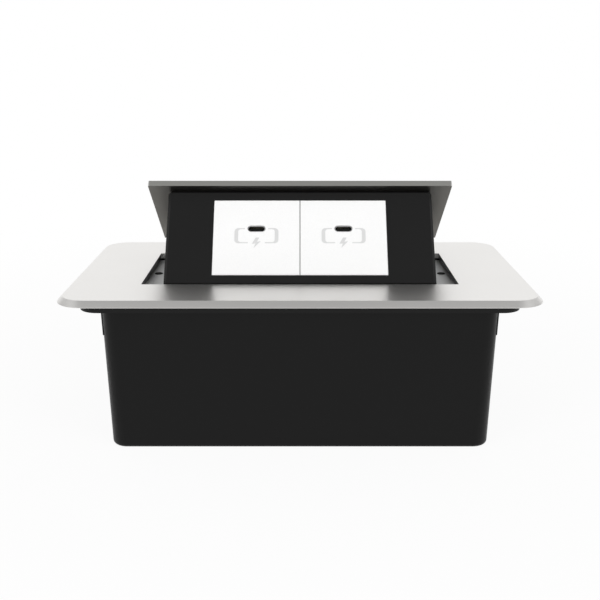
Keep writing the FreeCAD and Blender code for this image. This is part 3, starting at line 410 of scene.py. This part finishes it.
def bracket_half(side):
    """Half of the bracket: thin line, round corner, bar, round corner, thin line."""
    inner_r = MARK_R - MARK_LINE
    inner_x = MARK_HALF_W - MARK_BAR
    center_x = MARK_HALF_W - MARK_R
    top, foot = MARK_LINE / 2, -MARK_DROP - MARK_LINE / 2
    outer = arc(center_x, foot + MARK_R, MARK_R, -90, 0) + arc(center_x, top - MARK_R, MARK_R, 0, 90)
    inner = (arc(inner_x - inner_r, top - MARK_LINE - inner_r, inner_r, 90, 0)
             + arc(inner_x - inner_r, foot + MARK_LINE + inner_r, inner_r, 0, -90))
    outline = [(MARK_FOOT_GAP, foot)] + outer + [(MARK_TOP_GAP, top), (MARK_TOP_GAP, top - MARK_LINE)] + inner
    outline.append((MARK_FOOT_GAP, foot + MARK_LINE))
    if side < 0:
        outline = [(-x, y) for x, y in reversed(outline)]
    return prism(outline, -MARK_SUNK, MARK_PROUD)


def local_box(node, place):
    """Corners of a node's box in a face's own millimetres."""
    back = place.inverted()
    points = [back @ vertex.co for vertex in NODES[node].data.vertices]
    return [tuple(pick(p[i] for p in points) for i in range(3)) for pick in (min, max)]


def rectangle(left, right, low, high):
    return [(left, low), (right, low), (right, high), (left, high)]


CONTACT_COUNT = 12
CONTACT_PITCH = 0.5
CONTACT_W = 0.26
CONTACT_T = 0.03
CONTACT_LEN = 1.6
CONTACT_BACK = 0.35             # contacts start this far behind the tongue's tip


def tongue_contacts(low, high):
    """Rows of flat contacts on both faces of a port's tongue."""
    tip = high[2] - CONTACT_BACK
    pads = []
    for step in range(CONTACT_COUNT):
        x = (step - (CONTACT_COUNT - 1) / 2) * CONTACT_PITCH
        for face, outward in ((low[1], -CONTACT_T), (high[1], CONTACT_T)):
            foot, top = sorted((face - outward, face + outward))
            pad = rectangle(x - CONTACT_W / 2, x + CONTACT_W / 2, foot, top)
            pads.append(prism(pad, tip - CONTACT_LEN, tip))
    return pads


def mark_modules():
    """Bracket and bolt on each module's face, and the contacts in its port."""
    for name in SIDES:
        place = on_face(mount("usb_port_" + name))
        bolt = prism([(x, y - MARK_DROP) for x, y in BOLT], -MARK_SUNK, MARK_PROUD)
        build_piece("module_mark_" + name, [bracket_half(-1), bracket_half(1), bolt], place,
                    "module_white", "cassette", finish="mark_grey")
        build_piece("usb_contacts_" + name, tongue_contacts(*local_box("usb_tongue_" + name, place)), place,
                    "contact_brass", "cassette")


mark_modules()


# ---------------------------------------------------------------- plugs in the ledges
PLUG_IN = 15.1                  # hole in each ledge, in from the ledge's outer end
PLUG_BACK = 3.5                 # and back from its middle
PLUG_SHANK_R = 1.62
PLUG_SHANK = 2.5
PLUG_HEAD_R = 2.15
PLUG_HEAD_T = 0.35
PLUG_DISH_R = 1.2
PLUG_DISH = 0.2
PLUG_EDGE = 0.12
PLUG_SEAT = 0.02                # its head pressed into the ledge's top
PLUG_STEPS = 40


def turned(profile, steps=PLUG_STEPS):
    """A solid of revolution about Z from (radius, height) pairs that start and end on the axis."""
    points = [(0.0, 0.0, profile[0][1]), (0.0, 0.0, profile[-1][1])]
    for radius, height in profile[1:-1]:
        ring = [math.tau * i / steps for i in range(steps)]
        points += [(radius * math.cos(a), radius * math.sin(a), height) for a in ring]
    rings = len(profile) - 2
    faces = []
    for i in range(steps):
        j = (i + 1) % steps
        faces.append((0, 2 + j, 2 + i))
        faces += [(2 + r * steps + i, 2 + r * steps + j, 2 + (r + 1) * steps + j, 2 + (r + 1) * steps + i)
                  for r in range(rings - 1)]
        last = 2 + (rings - 1) * steps
        faces.append((1, last + i, last + j))
    return points, faces


def plug_ledges():
    """A headed rubber plug in the hole of each ledge."""
    head = PLUG_HEAD_T
    profile = [(0, -PLUG_SHANK), (PLUG_SHANK_R, -PLUG_SHANK), (PLUG_SHANK_R, 0), (PLUG_HEAD_R, 0),
               (PLUG_HEAD_R, head - PLUG_EDGE), (PLUG_HEAD_R - PLUG_EDGE, head),
               (PLUG_DISH_R + PLUG_EDGE, head), (PLUG_DISH_R, head - PLUG_DISH), (0, head - PLUG_DISH)]
    for name, side in SIDES.items():
        low, high = corners("side_ledge_" + name)
        outer_end = high.x if side > 0 else low.x
        seat = Matrix.Translation((outer_end - side * PLUG_IN * MM, (low.y + high.y) / 2 + PLUG_BACK * MM,
                                   high.z - PLUG_SEAT * MM))
        build_piece("ledge_plug_" + name, [turned(profile)], seat @ Matrix.Scale(MM, 4),
                    "stop_rubber", "housing")


plug_ledges()


def shortening_spring():
    """The latch's coil as a piece of its own riding on the housing, copied from the CAD spring, which is hidden.
    """
    coil = bpy.data.objects.new("latch_coil", NODES["latch_spring"].data.copy())
    bpy.context.scene.collection.objects.link(coil)
    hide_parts("latch_spring")
    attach(coil, "housing")
    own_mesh(coil)


shortening_spring()


# ---------------------------------------------------------------- stage, light and camera
def math_node(tree, operation, *sources):
    made = tree.nodes.new("ShaderNodeMath")
    made.operation = operation
    for source, target in zip(sources, made.inputs):
        tree.links.new(source, target)
    return made.outputs[0]


def seen_directly(tree):
    """1 for what the eye, a mirror or a clear part sees, 0 for rays that only carry light."""
    path = tree.nodes.new("ShaderNodeLightPath").outputs
    either = math_node(tree, "MAXIMUM", path["Is Camera Ray"], path["Is Transmission Ray"])
    return math_node(tree, "MAXIMUM", either, path["Is Glossy Ray"])


def faded(tree, source, span, values):
    """A smooth change from one value to another as the source crosses a span."""
    fade = tree.nodes.new("ShaderNodeMapRange")
    fade.interpolation_type = "SMOOTHSTEP"
    fade.inputs["From Min"].default_value, fade.inputs["From Max"].default_value = span
    fade.inputs["To Min"].default_value, fade.inputs["To Max"].default_value = values
    tree.links.new(source, fade.inputs["Value"])
    return fade.outputs["Result"]


FLOOR_SIZE = 8.0
FLOOR_DROP = 0.05 * MM
FLOOR_COLOR = (0.96, 0.96, 0.96)
FLOOR_WHITE = 0.92              # share of its look near the object that is plain white; the rest is shadowed
FLOOR_CLEAR = (0.18, 0.55)      # from here out the floor turns plain white, in metres from the object
SKY_LOW, SKY_HIGH = 0.62, 0.95  # heights of the sky between which it darkens
SKY_TOP = 0.31                  # how bright it is overhead
SIDE_LOW, SIDE_HIGH = 0.60, 0.92
SIDE_DIM = 0.42                 # how bright it is straight out to either side


def studio_floor():
    """A floor that is nearly plain white, keeps the object's shadow and is clear from below."""
    bpy.ops.mesh.primitive_plane_add(size=FLOOR_SIZE, location=(0, 0, -FLOOR_DROP))
    floor = bpy.context.object
    floor.name = "studio_floor"
    material = bpy.data.materials.new("studio_floor")
    material.use_nodes = True
    tree = material.node_tree
    tree.nodes.remove(tree.nodes["Principled BSDF"])
    matt = tree.nodes.new("ShaderNodeBsdfDiffuse")
    matt.inputs["Color"].default_value = (*FLOOR_COLOR, 1)
    white = tree.nodes.new("ShaderNodeEmission")
    white.inputs["Strength"].default_value = 1.0
    look = tree.nodes.new("ShaderNodeMixShader")
    place = tree.nodes.new("ShaderNodeTexCoord")
    reach = tree.nodes.new("ShaderNodeVectorMath")
    reach.operation = "LENGTH"
    tree.links.new(place.outputs["Object"], reach.inputs[0])
    clear = faded(tree, reach.outputs["Value"], FLOOR_CLEAR, (FLOOR_WHITE, 1.0))
    tree.links.new(math_node(tree, "MULTIPLY", seen_directly(tree), clear), look.inputs["Fac"])
    tree.links.new(matt.outputs[0], look.inputs[1])
    tree.links.new(white.outputs[0], look.inputs[2])
    below = tree.nodes.new("ShaderNodeNewGeometry")
    clear_below = tree.nodes.new("ShaderNodeMixShader")
    tree.links.new(below.outputs["Backfacing"], clear_below.inputs["Fac"])
    tree.links.new(look.outputs[0], clear_below.inputs[1])
    tree.links.new(tree.nodes.new("ShaderNodeBsdfTransparent").outputs[0], clear_below.inputs[2])
    tree.links.new(clear_below.outputs[0], tree.nodes["Material Output"].inputs["Surface"])
    floor.data.materials.append(material)


def world_light():
    """White all round at eye level, darker overhead and to either side; plain white behind the object."""
    world = bpy.data.worlds.new("studio")
    bpy.context.scene.world = world
    world.use_nodes = True
    tree = world.node_tree
    sky = tree.nodes["Background"]
    place = tree.nodes.new("ShaderNodeTexCoord")
    split = tree.nodes.new("ShaderNodeSeparateXYZ")
    tree.links.new(place.outputs["Generated"], split.inputs[0])
    overhead = faded(tree, split.outputs["Z"], (SKY_LOW, SKY_HIGH), (1.0, SKY_TOP))
    aside = math_node(tree, "ABSOLUTE", split.outputs["X"])
    sides = faded(tree, aside, (SIDE_LOW, SIDE_HIGH), (1.0, SIDE_DIM))
    tree.links.new(math_node(tree, "MULTIPLY", overhead, sides), sky.inputs["Color"])
    behind = tree.nodes.new("ShaderNodeBackground")
    behind.inputs["Color"].default_value = (1, 1, 1, 1)
    look = tree.nodes.new("ShaderNodeMixShader")
    path = tree.nodes.new("ShaderNodeLightPath")
    tree.links.new(path.outputs["Is Camera Ray"], look.inputs["Fac"])
    tree.links.new(sky.outputs[0], look.inputs[1])
    tree.links.new(behind.outputs[0], look.inputs[2])
    tree.links.new(look.outputs[0], tree.nodes["World Output"].inputs["Surface"])


LAMP_ASIDE, LAMP_FRONT, LAMP_UP = 0.85, 0.75, 0.65
LAMP_SIZE = 0.6
LAMP_POWER = 3.7
LAMP_TARGET = (0, 0, 0.08)


def softbox(name, side):
    """A square lamp in front of the object, to one side, turned towards it."""
    location = (side * LAMP_ASIDE, -LAMP_FRONT, LAMP_UP)
    light = bpy.data.lights.new(name, "AREA")
    light.shape = "SQUARE"
    light.size = LAMP_SIZE
    light.energy = LAMP_POWER
    lamp = bpy.data.objects.new(name, light)
    lamp.visible_glossy = False         # no mirror image of the lamp in the metal
    lamp.location = location
    lamp.rotation_euler = (Vector(LAMP_TARGET) - Vector(location)).to_track_quat("-Z", "Y").to_euler()
    bpy.context.scene.collection.objects.link(lamp)


CAMERA_BACK = 466.7 * MM
CAMERA_UP = 117.8 * MM
CAMERA_PITCH = 16.24
CAMERA_LENS = 53.42
SENSOR_WIDTH = 36.0


def camera():
    data = bpy.data.cameras.new("camera")
    data.sensor_width = SENSOR_WIDTH
    data.lens = CAMERA_LENS
    data.clip_start = 0.01
    eye = bpy.data.objects.new("camera", data)
    eye.location = (0, -CAMERA_BACK, PLATE_TOP + CAMERA_UP)
    eye.rotation_euler = (math.radians(90 - CAMERA_PITCH), 0, 0)
    bpy.context.scene.collection.objects.link(eye)
    bpy.context.scene.camera = eye


studio_floor()
world_light()
softbox("key", -1)
softbox("fill", 1)
camera()
bpy.context.scene.view_settings.view_transform = "Standard"
